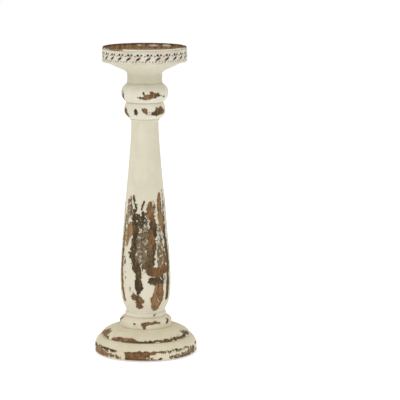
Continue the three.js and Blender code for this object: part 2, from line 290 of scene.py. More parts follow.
def wear_down(piece, marks, kept=(), bare_or_shaded=None, film=0.4 * mm, broken=1.0):
    """Stores where the paint has gone, and sinks those places by the thickness of the paint, film.
    Kept marks are islands of paint, and the bare function tells which places never had any paint or
    are painted dark as painted shade, and their tone.
    Broken is how far the edges of the marks stray, in millimetres or so."""
    mesh = piece.data
    count = len(mesh.vertices)
    places = np.empty(count * 3)
    mesh.vertices.foreach_get("co", places)
    places = places.reshape(count, 3)
    normals = np.array([tuple(n.vector) for n in mesh.vertex_normals])
    broad = fractal(places, 8 * mm)
    ragged = fractal(places + 0.5, 2.6 * mm)
    shift = fractal(places - 0.5, 6 * mm, 2)
    furthest_stray = 1.5 * broken * mm
    strayed = places + np.stack([shift, -broad, broad - shift], axis=1) * furthest_stray
    depth, tone, fleck = coverage(strayed, marks)
    well_inside = 4
    if bare_or_shaded is not None:
        unpainted_or_shaded, own_tone = bare_or_shaded(places / mm, normals)
        depth[unpainted_or_shaded] = well_inside
        tone[unpainted_or_shaded] = own_tone[unpainted_or_shaded]
        fleck[unpainted_or_shaded] = 0
    if kept:
        depth = np.minimum(depth, -coverage(strayed, kept)[0])
    depth = depth + broken * (0.8 * broad + 0.9 * ragged)
    for name, values in (("wear", np.clip(depth / 1.5, -3, 1.2)), ("tone", tone),
                         ("fleck", fleck)):
        layer = mesh.attributes.new(name, "FLOAT", "POINT")
        layer.data.foreach_set("value", values.astype(np.float32))
    edge_width = 0.9
    gone = np.clip(0.5 + (depth + 2.2 * fleck * ragged) / edge_width, 0, 1)
    sunk = film * (gone + 0.5 * np.clip(depth / well_inside, 0, 1) - 0.15 * broad)
    places -= normals * sunk[:, None]
    mesh.vertices.foreach_set("co", places.ravel())
    mesh.update()


def distressed(name, grain, cream, under, film=0.45, blotches=1.5):
    """Cream chalk paint worn through to what is under it. The grain runs along the axis of the
    smallest number in grain, cream is the paint's darkest and lightest colour, and under goes
    from the palest wood or metal to the darkest primer."""
    material, start, shader = new_material(name)
    place = start.node("ShaderNodeTexCoord", output=3)

    def cloud(wavelength, detail=3.0, roughness=0.55, stretch=(1, 1, 1)):
        """Noise of about -0.3 to 0.3."""
        drawn = start.node("ShaderNodeMapping", inputs={"Vector": place, "Scale": stretch})
        return start.mottled(drawn, wavelength, Detail=detail, Roughness=roughness) - 0.5

    def stored(attribute):
        return start.node("ShaderNodeAttribute", {"attribute_name": attribute}, output=2)

    wear, tone, fleck = stored("wear"), stored("tone"), stored("fleck")
    chips = cloud(2.6 * mm, detail=5.0, roughness=0.7)
    specks = cloud(3.8 * mm, detail=4.0, roughness=0.7, stretch=(1, 1, 0.8))
    raggedness = 5.0
    speckle = 11.0
    sharpness = 4.5
    edge = wear + chips * raggedness + specks * (fleck + 0.1) * speckle
    bare_or_shaded = (edge * sharpness + 0.5).clipped()

    fibres = cloud(1.3 * mm, detail=4.0, roughness=0.65, stretch=grain)
    growth = cloud(5 * mm, detail=3.0, stretch=grain)
    stain = cloud(4.5 * mm, detail=5.0, roughness=0.72, stretch=(1, 1, 0.7))
    outline = (0.9 - edge).clipped() * 0.42
    shade = tone + stain * blotches + fibres * 1.5 + growth * 1.3 + outline
    worn = start.node("ShaderNodeValToRGB", {"stops": under}, {0: shade})
    wash = (cloud(1.9 * mm, detail=4.0, roughness=0.7) * 5.0 + fleck * 0.9 - 0.8).clipped() * 0.5
    worn = wash.mixed(worn, colour(0.46, 0.385, 0.26))

    brushed = cloud(6 * mm, detail=4.0, stretch=(1, 1, 0.12))
    mottle = cloud(30 * mm, detail=3.0)
    cream_tone = (0.5 + brushed * 0.8 + mottle * 1.6 + chips * 0.5).clipped()
    paint = cream_tone.mixed(*cream)
    thin = ((wear + 1.4 + stain * 2.0) * 0.5).clipped() * 0.22
    paint = thin.mixed(paint, colour(0.55, 0.43, 0.27))

    feed(shader, "Base Color", bare_or_shaded.mixed(paint, worn))
    feed(shader, "Roughness", 0.80 + brushed * 0.15 - bare_or_shaded * 0.14 + fibres * bare_or_shaded * 0.25)
    shader.inputs["Specular IOR Level"].default_value = 0.18
    relief = (1.0 - bare_or_shaded) * film + brushed * 0.12 + chips * bare_or_shaded * 0.2 + fibres * bare_or_shaded * 0.3
    bump = start.node("ShaderNodeBump", inputs={"Height": relief, "Distance": 1 * mm,
                                                "Strength": 0.9})
    feed(shader, "Normal", bump)
    return material


old_wood = [(0.0, colour(0.30, 0.195, 0.095)), (0.36, colour(0.205, 0.094, 0.035)),
            (0.7, colour(0.100, 0.063, 0.024)), (1.0, colour(0.047, 0.035, 0.017))]
# The base's cream is yellower than the stem's.
yellower_cream = (colour(0.64, 0.572, 0.395), colour(0.76, 0.70, 0.525))
flat_grain_paint = distressed(
    "worn_cream_paint_flat_grain", (0.1, 1, 1), yellower_cream, old_wood,
)

low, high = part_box("plinth")
side_top = low.z + 12.4 * mm
shoulder_top = high.z
cap_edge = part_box("base_cap")[1].x
tenon_bore = 13.15 * mm
counterbore = 12 * mm
counterbore_top = low.z + 8.5 * mm
mortise_floor = counterbore_top + 5 * mm
lag_bore = 3.15 * mm
plinth_outline = [(counterbore, low.z)]
plinth_outline += line(plinth_outline[-1], (high.x - 1 * mm, low.z), 4 * mm)
plinth_outline += line(plinth_outline[-1], (high.x, low.z + 1 * mm), 0.7 * mm)
plinth_outline += line(plinth_outline[-1], (high.x, side_top))
plinth_outline += line(plinth_outline[-1], (high.x - 0.7 * mm, side_top + 0.7 * mm), 0.5 * mm)
plinth_outline += bend(
    plinth_outline[-1], (high.x - 1.8 * mm, side_top + 6 * mm),
    (high.x - 5 * mm, shoulder_top - 1.6 * mm), (cap_edge + 0.6 * mm, shoulder_top),
)
plinth_outline += [(tenon_bore, shoulder_top), (tenon_bore, mortise_floor),
                   (lag_bore, mortise_floor), (lag_bore, counterbore_top),
                   (counterbore, counterbore_top), (counterbore, low.z)]
plinth = finished(turned(plinth_outline, 360), "plinth_turned", flat_grain_paint)


def plinth_underside(place, normal):
    under = (normal[:, 2] < -0.7) & (place[:, 2] < low.z / mm + 10)
    return under, np.full(len(place), 0.25)


wear_down(plinth, [
    # The front.
    mark(0.16, [(-84, 7, 6), (-70, 9, 6.5), (-60, 7, 6.4), (-48, 5, 3.6)], flecks=0.1),
    mark(0.7, [(-66, 15.6, 1.5), (-52, 14.4, 2.0), (-34, 13.8, 1.4)], flecks=0.2),
    mark(0.85, [(-84, 14.6, 1.3), (-70, 15, 1.1)], flecks=0.3),
    mark(0.5, [(-50, 8, 3.6), (-38, 6, 4), (-28, 5, 3.4)], flecks=1.0, sparse=1.6),
    mark(0.44, [(-21, 12.6, 2.4), (-17, 7, 7.4), (-6, 8, 7.4), (3, 11, 4.4)]),
    mark(0.38, [(-2, 13.8, 2.0), (10, 14.0, 1.7), (26, 14.2, 1.2)]),
    mark(0.5, [(2, 8, 1.6), (8, 5.6, 1.4)], flecks=0.8),
    mark(0.4, [(-4, 3.4, 2.4), (10, 2.6, 1.6), (15, 2.8, 1.2)], flecks=0.2),
    mark(0.95, [(18, 4.4, 2.0)], flecks=0.2),
    mark(0.7, [(28, 14.2, 1.1), (44, 14.6, 0.9), (58, 14.8, 1.4)], flecks=0.6),
    mark(0.75, [(30, 5.4, 3), (42, 5, 4.4), (56, 6, 5.4), (70, 8, 6)], flecks=1.3, sparse=1.6),
    mark(0.9, [(36, 3.2, 1.7), (46, 3.6, 1.6), (54, 2.8, 2.2), (62, 3.6, 1.6)], flecks=0.4),
    mark(0.85, [(62, 12.6, 1.6), (72, 11, 2.4)], flecks=0.6),
    # Round the right side.
    mark(0.4, [(76, 3.4, 2.4), (86, 4, 3.4)], flecks=0.4),
    mark(0.5, [(80, 14.4, 1.5), (98, 14.2, 2.2)], flecks=0.3),
    mark(0.25, [(96, 6, 5.3), (112, 8, 6.5)], flecks=0.2),
    mark(0.8, [(122, 14.2, 1.5), (146, 14, 1.2), (168, 14.2, 1.8)], flecks=0.3),
    mark(0.6, [(116, 5, 4), (132, 5, 5)], flecks=1.2, sparse=1.2),
    # Round the back and the left side.
    mark(0.4, [(150, 6, 6.5), (164, 5, 5.3)], flecks=0.1),
    mark(0.8, [(180, 12, 3.4), (192, 9, 5)], flecks=1.1, sparse=1),
    mark(0.35, [(198, 3.4, 3.4), (216, 4, 4.1)], flecks=0.3),
    mark(0.9, [(212, 14.4, 1.4), (232, 14.2, 1.1), (250, 14.4, 1.8)], flecks=0.2),
    mark(0.2, [(238, 7, 6.5), (254, 9, 5.3)], flecks=0.1),
    mark(0.7, [(262, 5, 4.1), (274, 6, 4.6)], flecks=1.0, sparse=1),
], bare_or_shaded=plinth_underside)
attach(plinth, "root")
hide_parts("plinth")

# ---- Base cap ----
# The domed upper disc of the base, glued on the plinth. Its sharp edge has lost its paint
# nearly all the way round, and at the front the dark line along its upright side is partly painted
# shade under the edge.

low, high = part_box("base_cap")
collar_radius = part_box("collar")[1].x
edge_top = low.z + 2.8 * mm
cap_outline = [(tenon_bore, low.z), (high.x - 1 * mm, low.z)]
cap_outline += line(cap_outline[-1], (high.x, low.z + 0.5 * mm), 0.6 * mm)
cap_outline += line(cap_outline[-1], (high.x, edge_top), 0.8 * mm)
cap_outline += line(cap_outline[-1], (high.x - 0.8 * mm, edge_top + 0.8 * mm), 0.5 * mm)
cap_outline += bend(
    cap_outline[-1], (high.x - 4.4 * mm, edge_top + 5.6 * mm),
    (high.x - 14 * mm, high.z - 1.6 * mm), (collar_radius + 0.5 * mm, high.z),
)
cap_outline += [(tenon_bore, high.z), (tenon_bore, low.z)]
base_cap = finished(turned(cap_outline, 320), "base_cap_turned", flat_grain_paint)
wear_down(base_cap, [
    mark(0.34, [(-46, 29.6, 1.6), (-34, 29.4, 3.0), (-20, 29.2, 3.2), (-10, 28.2, 1.6)]),
    # A dark line along the upright side below the edge at the front: worn paint, and partly painted
    # shade under the edge.
    mark(0.7, [(-48, 27.2, 1.3), (-20, 26.8, 1.3), (12, 26.6, 1.2)]),
    mark(0.52, [(-10, 27.8, 1.7), (16, 27.8, 1.9), (40, 28.2, 2.2), (60, 29.0, 2.1)]),
    mark(0.5, [(34, 29.4, 1.0), (52, 30, 1.4)], flecks=0.6, sparse=0.2),
    mark(0.16, [(-86, 30, 3.4), (-76, 33, 4.2), (-64, 33, 3.0)], flecks=0.3),
    mark(0.45, [(-70, 29.4, 1.6), (-56, 28.6, 1.2)], flecks=0.3),
    mark(0.5, [(-104, 28.4, 2.2), (-90, 28.6, 2.6)], flecks=0.3),
    mark(0.8, [(60, 29.6, 1.4), (70, 31, 1.6), (80, 31, 2.2)], flecks=0.4),
    mark(0.2, [(66, 33, 1.4), (76, 34.6, 1.6)], flecks=0.5),
    mark(0.55, [(92, 28.4, 2.0), (108, 28.4, 1.6)], flecks=0.3),
    mark(0.3, [(116, 29.6, 2.6), (134, 29.6, 3.4), (142, 28.6, 1.7)]),
    mark(0.8, [(146, 27.8, 1.4), (184, 27.8, 1.3)], flecks=0.2),
    mark(0.3, [(188, 30, 2.8), (202, 30.6, 3.6)], flecks=0.2),
    mark(0.7, [(208, 28, 1.4), (246, 28, 1.7)], flecks=0.2),
])
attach(base_cap, "root")
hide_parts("base_cap")

# ---- Collar ----
# The short ring that the stem stands on, turned end grain up and glued over the stem's tenon.

upright_grain = (1, 1, 0.1)
pale_cream = (colour(0.655, 0.595, 0.435), colour(0.775, 0.718, 0.56))
pale_upright_paint = distressed(
    "pale_cream_paint_upright_grain", upright_grain, pale_cream, old_wood,
)

low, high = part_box("collar")
foot_radius = 30.6 * mm
collar_outline = [(tenon_bore, low.z), (high.x - 1 * mm, low.z)]
collar_outline += bend(
    collar_outline[-1], (high.x, low.z), (high.x, low.z), (high.x, low.z + 1.2 * mm), 0.5 * mm,
)
collar_outline += line(collar_outline[-1], (high.x, low.z + 8.4 * mm))
collar_outline += bend(
    collar_outline[-1], (high.x, low.z + 11 * mm), (high.x - 3 * mm, low.z + 13.5 * mm),
    (foot_radius + 0.4 * mm, high.z), 1 * mm,
)
collar_outline += [(tenon_bore, high.z), (tenon_bore, low.z)]
collar = finished(turned(collar_outline, 220), "collar_turned", pale_upright_paint)
wear_down(collar, [
    mark(0.3, [(-7, 49.2, 2.4), (6, 49.4, 2.4), (20, 49.6, 2.6), (33, 49.8, 1.5)]),
    mark(0.35, [(-6, 48, 1.9), (-3, 45, 3.1), (6, 47.6, 1.5)]),
    mark(0.6, [(56, 47, 1.8), (60, 50, 3.1)], flecks=0.2),
    mark(0.9, [(-24, 49, 1.2)]),
    mark(0.7, [(-78, 49, 2.4), (-74, 52, 2.4)], flecks=0.2),
    mark(0.4, [(112, 48, 3.4), (124, 49.6, 2.9)], flecks=0.2),
    mark(0.2, [(156, 47, 4.1), (176, 47, 4.6)]),
    mark(0.6, [(228, 50, 2.9), (240, 49.4, 2.9)], flecks=0.4),
])
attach(collar, "root")
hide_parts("collar")

# ---- Stem ----
# The long baluster, turned from one squared blank. The paint is whole on its upper half, and
# scrubbed back to the primer and the wood on its lower half.

fresh_cream = (colour(0.64, 0.587, 0.445), colour(0.75, 0.705, 0.57))
upright_grain_paint = distressed(
    "cream_paint_upright_grain", upright_grain, fresh_cream, old_wood,
)

low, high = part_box("stem")
foot = high.z - 295 * mm
bead_top = foot + 6.6 * mm
groove_radius = 28.3 * mm
bulb_foot = bead_top + 2 * mm
bulb_widest = bulb_foot + 45 * mm
bulb_radius = high.x
neck_radius = 20.2 * mm
neck_height = high.z - 3.5 * mm
fillet_radius = 21.6 * mm
tenon_radius = 13 * mm
lag_hole_end = low.z + 26 * mm
dowel_bore = 8.15 * mm
dowel_hole_end = high.z - 33 * mm
stem_outline = [(0, lag_hole_end), (lag_bore, lag_hole_end), (lag_bore, low.z),
                (tenon_radius - 1 * mm, low.z), (tenon_radius, low.z + 1 * mm),
                (tenon_radius, foot), (foot_radius - 0.8 * mm, foot)]
stem_outline += bend(
    stem_outline[-1], (foot_radius - 0.3 * mm, foot), (foot_radius, foot + 0.6 * mm),
    (foot_radius, foot + 2 * mm), 0.7 * mm,
)
stem_outline += bend(
    stem_outline[-1], (foot_radius, foot + 4.6 * mm), (groove_radius + 1.6 * mm, bead_top),
    (groove_radius, bead_top), 0.8 * mm,
)
stem_outline += line(stem_outline[-1], (groove_radius, bulb_foot), 0.8 * mm)
stem_outline += bend(
    stem_outline[-1], (groove_radius + 4.2 * mm, bulb_foot + 8.5 * mm),
    (bulb_radius, bulb_widest - 33 * mm), (bulb_radius, bulb_widest),
)
stem_outline += bend(
    stem_outline[-1], (bulb_radius, bulb_widest + 63 * mm),
    (neck_radius, neck_height - 56 * mm), (neck_radius, neck_height), 1.3 * mm,
)
stem_outline += line(stem_outline[-1], (fillet_radius, neck_height + 1.2 * mm), 0.6 * mm)
stem_outline += line(stem_outline[-1], (fillet_radius, high.z), 0.8 * mm)
stem_outline += [(dowel_bore, high.z), (dowel_bore, dowel_hole_end), (0, dowel_hole_end)]
stem = finished(turned(stem_outline, 220), "stem_turned", upright_grain_paint)
wear_down(stem, [
    mark(0.9, [(27, 60.6, 1.1), (31, 60.8, 1.0)]),
    # The brown tongue and the strips beside it.
    mark(0.46, [(16, 230, 1.8), (15, 222, 5.4), (15, 213, 6.8), (18, 204, 6.4)], flecks=0.1),
    mark(0.32, [(48, 241, 2.2), (47, 232, 4.2), (46, 220, 4.6)]),
    mark(0.10, [(48, 219, 3.6), (47, 208, 5.4), (50, 197, 4.6), (54, 186, 3.0)], flecks=0.25),
    mark(0.8, [(65, 246, 0.9), (66, 234, 1.0), (64, 216, 1.6), (61, 200, 1.6)], flecks=0.2),
    mark(0.85, [(58, 194, 3.0), (60, 178, 3.8), (63, 160, 4.4), (65, 138, 4.0)], flecks=0.6),
    # The speckled left shoulder.
    mark(0.8, [(-47, 238, 2.2), (-44, 227, 1.8), (-42, 212, 2.2)], flecks=0.9),
    mark(0.9, [(-34, 238, 1.7), (-30, 229, 1.6), (-28, 221, 2.2), (-32, 210, 3.4)], flecks=0.7),
    mark(0.25, [(-55, 234, 2.4), (-50, 218, 4.2), (-56, 200, 4.6)], flecks=1.35, sparse=1.4),
    mark(-0.05, [(-40, 196, 4.0), (-43, 187, 7.8), (-50, 177, 4.8), (-51, 165, 2.8)], flecks=0.3),
    mark(0.4, [(-64, 208, 2.0), (-66, 172, 3.4), (-68, 146, 3.6)], flecks=0.4),
    mark(0.8, [(-41, 155, 1.9)]),
    # The dark scrubbed middle.
    mark(0.9, [(-31, 209, 3.2), (-27, 196, 6.0), (-24, 180, 6.4), (-26, 163, 6.0),
               (-29, 152, 6.4)], flecks=0.45),
    mark(0.9, [(-20, 209, 3.4), (-11, 203, 6.4), (-6, 194, 7.0)], flecks=0.6),
    mark(0.9, [(-2, 231, 1.0), (-8, 220, 1.5), (-5, 211, 2.2), (-1, 203, 4)], flecks=0.35),
    mark(0.85, [(25, 231, 0.9), (29, 220, 1.3), (28, 209, 1.6)], flecks=0.7),
    mark(0.85, [(19, 204, 5.4), (23, 192, 6.0), (25, 182, 4.6)], flecks=0.3),
    mark(0.36, [(17, 187, 5.4), (17, 174, 6.6), (15, 160, 6.4)], flecks=0.35),
    mark(0.72, [(-2, 192, 8), (-6, 176, 11), (-4, 160, 12), (-8, 148, 11)], flecks=1.3),
    mark(0.7, [(22, 166, 5), (14, 152, 8), (11, 141, 8), (4, 132, 7)], flecks=0.7),
    mark(0.9, [(-30, 150, 4.6), (-24, 140, 5.6), (-18, 130, 6.2), (-14, 120, 4.6)], flecks=0.25),
    mark(1.0, [(-15, 112, 5.0), (-14, 104, 6.2), (-16, 96, 2.8)]),
    # The brown and dark bands under it.
    mark(0.42, [(7, 128, 4.4), (20, 126, 7.4), (38, 124, 8.0), (50, 130, 6)], flecks=0.4),
    mark(0.85, [(13, 113, 4.0), (24, 113, 6.8), (42, 113, 7.0), (45, 122, 4)], flecks=0.35),
    mark(0.95, [(8, 127, 2.2)]),
    mark(0.26, [(34, 105, 6.6), (34, 95, 8.4), (30, 84, 10.4), (29, 75, 7.6)], flecks=0.1),
    mark(0.8, [(36, 99, 2.4), (44, 91, 1.8)]),
    mark(0.58, [(-28, 88, 4.4), (-19, 86, 6.6), (-11, 82, 5.6), (-16, 75, 4.2)], flecks=0.35),
    # The left edge and its knocks.
    mark(0.42, [(-68, 150, 3.4), (-68, 122, 4.2), (-64, 98, 4.0), (-59, 82, 3.0)], flecks=0.3),
    mark(0.8, [(-58, 146, 1.7), (-54, 137, 1.6)], flecks=0.8),
    mark(0.8, [(-51, 125, 1.1)]),
    mark(0.8, [(-51, 116, 1.1)]),
    mark(0.85, [(-37, 102, 1.0), (-37, 98, 0.8)]),
    mark(0.9, [(-28, 95, 1.4)]),
    # The right edge, and the flaking paint beside it.
    mark(0.75, [(66, 152, 4.0), (65, 123, 4.2), (63, 100, 4.2), (62, 84, 3.2)], flecks=0.25),
    mark(0.6, [(36, 196, 5), (40, 180, 8), (42, 164, 10), (40, 148, 10), (35, 134, 7)], flecks=1.3,
         sparse=4.2),
    mark(0.3, [(50, 153, 3.2), (54, 142, 3.2), (48, 134, 2.6)], flecks=0.7),
    mark(0.9, [(35, 152, 1.5)]),
    mark(0.9, [(36, 141, 1.8)]),
    mark(0.8, [(29, 131, 1.5)]),
    # Round the right side.
    mark(0.30, [(84, 232, 1.6), (87, 216, 4.6), (90, 196, 6.4), (88, 182, 4)], flecks=0.2),
    mark(0.88, [(100, 222, 1.6), (102, 206, 5), (98, 182, 9), (94, 158, 10), (92, 138, 7)],
         flecks=0.8),
    mark(0.4, [(112, 196, 4), (114, 178, 6), (108, 160, 5)], flecks=0.5),
    mark(0.9, [(92, 126, 5), (96, 114, 4.4), (100, 104, 2)], flecks=0.2),
    mark(0.28, [(110, 112, 4), (112, 98, 6), (108, 84, 5)], flecks=0.1),
    mark(0.8, [(128, 236, 1.2), (130, 218, 1.8), (126, 200, 3)], flecks=0.7),
    mark(0.12, [(134, 196, 3.4), (136, 178, 6.4), (132, 160, 5)], flecks=0.3),
    # Round the back.
    mark(0.95, [(148, 150, 4), (144, 132, 6), (142, 116, 5), (140, 104, 2.4)], flecks=0.3),
    mark(0.7, [(146, 176, 5), (150, 160, 6)], flecks=1.1, sparse=1),
    mark(0.28, [(160, 233, 1.6), (164, 216, 5.4), (167, 200, 6)], flecks=0.1),
    mark(0.9, [(172, 208, 6), (172, 186, 12), (174, 162, 13), (178, 140, 8)], flecks=0.85),
    mark(0.38, [(188, 188, 5), (192, 168, 6.4), (188, 148, 5)], flecks=0.35),
    mark(0.85, [(180, 128, 5), (176, 118, 3.4)], flecks=0.3),
    mark(0.30, [(168, 112, 4), (180, 104, 6.4), (178, 88, 6)], flecks=0.1),
    mark(0.85, [(202, 232, 1.3), (206, 216, 2.6), (203, 198, 2.4)], flecks=0.6),
    mark(0.15, [(208, 176, 4), (212, 156, 6.4), (212, 136, 5)], flecks=0.5),
    mark(0.4, [(222, 104, 4.6), (224, 90, 5.6)], flecks=0.3),
    # Round the left side.
    mark(0.9, [(236, 220, 2), (238, 200, 6), (242, 178, 9), (244, 156, 8), (240, 138, 4)],
         flecks=0.7),
    mark(0.32, [(254, 182, 4), (256, 160, 6), (252, 138, 5), (250, 120, 4)], flecks=0.3),
    mark(0.7, [(266, 196, 4), (268, 172, 6), (268, 150, 5)], flecks=1.1, sparse=1.6),
    mark(0.9, [(266, 100, 2.4), (268, 88, 3)], flecks=0.2),
    mark(0.15, [(276, 230, 1.8), (279, 212, 3.4)], flecks=0.4),
], kept=[
    mark(0, [(4, 207, 0.6), (12, 202, 0.5)]),
    mark(0, [(-2, 203, 0.6), (2, 194, 1.0)]),
    mark(0, [(-16, 186, 0.8)]),
    mark(0, [(33, 222, 1.6), (33, 206, 1.8), (36, 190, 1.6), (38, 172, 1.2)]),
    mark(0, [(-40, 172, 1.4), (-39, 160, 1.4)]),
    mark(0, [(29, 87, 0.6), (35, 81, 1.0)]),
    mark(0, [(48, 122, 0.9), (51, 107, 1.3), (51, 90, 1.3), (53, 78, 1.6)]),
    mark(0, [(-1, 128, 1.6), (1, 117, 2.6), (2, 106, 3.0)]),
    mark(0, [(37, 118, 0.9), (41, 116, 0.8)]),
])
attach(stem, "root")
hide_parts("stem")

# ---- Neck ring and knop ----
# Two rounded rings threaded on the dowel between the stem and the capital. Their widest parts
# have been knocked and rubbed through to the primer and the wood.


def rounded_ring(low, high, foot_radius, widest, top_radius, ease):
    """The outline of a ring round the dowel. Widest is the height of its fullest part, and ease
    the height of the flattest parts at its foot and its top."""
    outline = [(dowel_bore, low.z), (foot_radius - 1 * mm, low.z),
               (foot_radius, low.z + 0.2 * mm)]
    outline += bend(
        outline[-1], ((foot_radius + high.x) / 2, low.z + ease),
        (high.x, (low.z + widest) / 2), (high.x, widest), 1.1 * mm,
    )
    outline += bend(
        outline[-1], (high.x, (widest + high.z) / 2),
        ((high.x + top_radius) / 2, high.z - ease), (top_radius, high.z - 0.2 * mm), 1.1 * mm,
    )
    return outline + [(top_radius - 1 * mm, high.z), (dowel_bore, high.z), (dowel_bore, low.z)]


cool_cream = (colour(0.66, 0.62, 0.495), colour(0.785, 0.75, 0.63))
ring_paint = distressed("cool_cream_paint_rings", upright_grain, cool_cream, old_wood)

low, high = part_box("neck_ring")
ring_outline = rounded_ring(
    low, high, foot_radius=22.4 * mm, widest=low.z + 12 * mm, top_radius=27 * mm, ease=2.4 * mm,
)
neck_ring = finished(turned(ring_outline, 180), "neck_ring_turned", ring_paint)
wear_down(neck_ring, [
    mark(0.45, [(-68, 366, 3.4), (-63, 360, 4.6), (-56, 357, 2.6)], flecks=0.1),
    mark(0.95, [(-24, 366, 1.5), (-24, 362, 2.9)]),
    mark(0.35, [(-4, 367, 2.6), (3, 365, 3.4), (6, 361, 2.6)]),
    mark(0.5, [(14, 363, 0.9)]),
    mark(0.8, [(27, 361, 3.1), (36, 362, 4.6), (50, 363, 3.1)], flecks=0.2),
    mark(0.4, [(40, 365, 4.1), (54, 364, 5.6), (64, 362, 4.1)], flecks=0.1),
    mark(0.7, [(92, 364, 3.4), (104, 364, 2.9)], flecks=0.3),
    mark(0.25, [(126, 363, 4.6), (142, 364, 4.1)]),
    mark(0.95, [(174, 365, 3.4), (180, 363, 2.9)]),
    mark(0.3, [(198, 362, 4.1), (212, 363, 4.6)], flecks=0.1),
    mark(0.7, [(244, 365, 2.9), (254, 363, 3.6)], flecks=0.3),
])
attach(neck_ring, "root")
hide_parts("neck_ring")

low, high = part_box("knop")
knop_outline = rounded_ring(
    low, high, foot_radius=27.2 * mm, widest=low.z + 14 * mm, top_radius=26.4 * mm, ease=3.4 * mm,
)
knop = finished(turned(knop_outline, 200), "knop_turned", ring_paint)
wear_down(knop, [
    mark(0.25, [(-14, 385, 1.1), (-2, 383.6, 2.6), (4, 382, 1.5)]),
    mark(0.25, [(4, 387, 2.6), (14, 386.6, 3.9), (24, 388.6, 3.9), (34, 389, 3.1)]),
    mark(0.35, [(16, 391.6, 1.5), (22, 392, 1.4)]),
    mark(0.85, [(28, 386, 1.5), (38, 386.6, 2.4), (42, 388, 1.5)], flecks=0.2),
    mark(0.95, [(-68, 392, 1.8), (-66, 387, 2.9), (-68, 382, 1.8)]),
    mark(1.0, [(-1, 391.5, 1.2)]),
    mark(1.0, [(54, 386.6, 1.4)]),
    mark(0.3, [(100, 388, 3.1), (112, 388, 3.9)], flecks=0.2),
    mark(0.4, [(146, 390, 3.6), (164, 391, 3.6)], flecks=0.4),
    mark(1.0, [(170, 384, 2.6)]),
    mark(0.2, [(210, 386, 3.9), (226, 387, 3.4)]),
    mark(0.8, [(262, 390, 3.1), (264, 386, 2.9)]),
])
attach(knop, "root")
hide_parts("knop")

# ---- Capital ----
# The neck, cove and flare that carry the pan, turned from one blank and glued on the dowel.
# Its upright edge and its top, behind the pierced strip, are painted near black, as painted shade
# seen through the strip's holes. Its cream is darker and greyer than the stem's, as painted shade
# under the pan.

low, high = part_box("capital")
neck_top = low.z + 12.5 * mm
cove_top = neck_top + 10.9 * mm
flare_top = cove_top + 10.2 * mm
capital_neck = 25.6 * mm
cove_radius = 40 * mm
dowel_hole_end = low.z + 19 * mm
dimple_floor = high.z - 3.6 * mm
screw_bore = 1.95 * mm
screw_hole_end = high.z - 21.6 * mm
capital_outline = [(0, dowel_hole_end), (dowel_bore, dowel_hole_end), (dowel_bore, low.z),
                   (capital_neck + 0.6 * mm, low.z)]
capital_outline += bend(
    capital_outline[-1], (capital_neck, low.z + 4 * mm), (capital_neck, low.z + 8 * mm),
    (capital_neck, neck_top),
)
capital_outline += bend(
    capital_outline[-1], (capital_neck, neck_top + 5.4 * mm),
    (cove_radius - 7.2 * mm, cove_top - 2.9 * mm), (cove_radius, cove_top), 1 * mm,
)
capital_outline += line(capital_outline[-1], (high.x - 0.6 * mm, flare_top - 0.3 * mm))
capital_outline += line(capital_outline[-1], (high.x, flare_top + 0.3 * mm), 0.5 * mm)
capital_outline += line(capital_outline[-1], (high.x, high.z), 2 * mm)
capital_outline += [(5.45 * mm, high.z), (3.15 * mm, dimple_floor), (screw_bore, dimple_floor),
                    (screw_bore, screw_hole_end), (0, screw_hole_end)]
# The capital's cream is darker and greyer than the stem's: painted shade under the pan's flare.
grey_cream_painted_shade = (colour(0.575, 0.54, 0.415), colour(0.67, 0.635, 0.50))
capital_paint_painted_shade = distressed("grey_cream_paint_capital_painted_shade", upright_grain, grey_cream_painted_shade, old_wood)
capital = finished(turned(capital_outline, 280), "capital_turned", capital_paint_painted_shade)


# The capital's upright edge and top behind the strip get the near-black primer tone: painted shade
# that makes the strip's holes look dark.
def painted_shade_behind_strip(place, normal):
    behind_strip = (place[:, 2] > flare_top / mm + 1.2) | (normal[:, 2] > 0.7)
    return behind_strip, np.full(len(place), 0.95)


wear_down(capital, [
    mark(0.3, [(118, 412, 1.2), (121, 417, 2.2)]),
    mark(0.8, [(200, 407, 1.4), (210, 408, 1.4)], flecks=0.3),
    mark(0.35, [(154, 428, 2), (164, 429, 2)], flecks=0.5),
    mark(0.3, [(262, 431, 1.6), (272, 432, 1.4)], flecks=0.3),
], bare_or_shaded=painted_shade_behind_strip)
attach(capital, "root")
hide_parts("capital")

# ---- Top dowel ----
# A fluted beech dowel, glued into the stem and the capital with the two rings between them.

low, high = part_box("top_dowel")
bare_wood, start, shader = new_material("bare_beech")
place = start.node("ShaderNodeTexCoord", output=3)
along = start.node("ShaderNodeMapping", inputs={"Vector": place, "Scale": (1, 1, 0.06)})
grain = start.mottled(along, 1.6 * mm, Detail=4.0)
rays = start.mottled(place, 0.9 * mm)
beech_tone = ((grain - 0.5) * 2.4 + (rays - 0.5) * 0.8 + 0.5).clipped()
feed(shader, "Base Color",
     beech_tone.mixed(colour(0.42, 0.27, 0.15), colour(0.62, 0.44, 0.27)))
feed(shader, "Roughness", 0.55 + grain * 0.3)
feed(shader, "Normal", start.node("ShaderNodeBump", inputs={
    "Height": grain, "Distance": 0.2 * mm, "Strength": 0.6}))

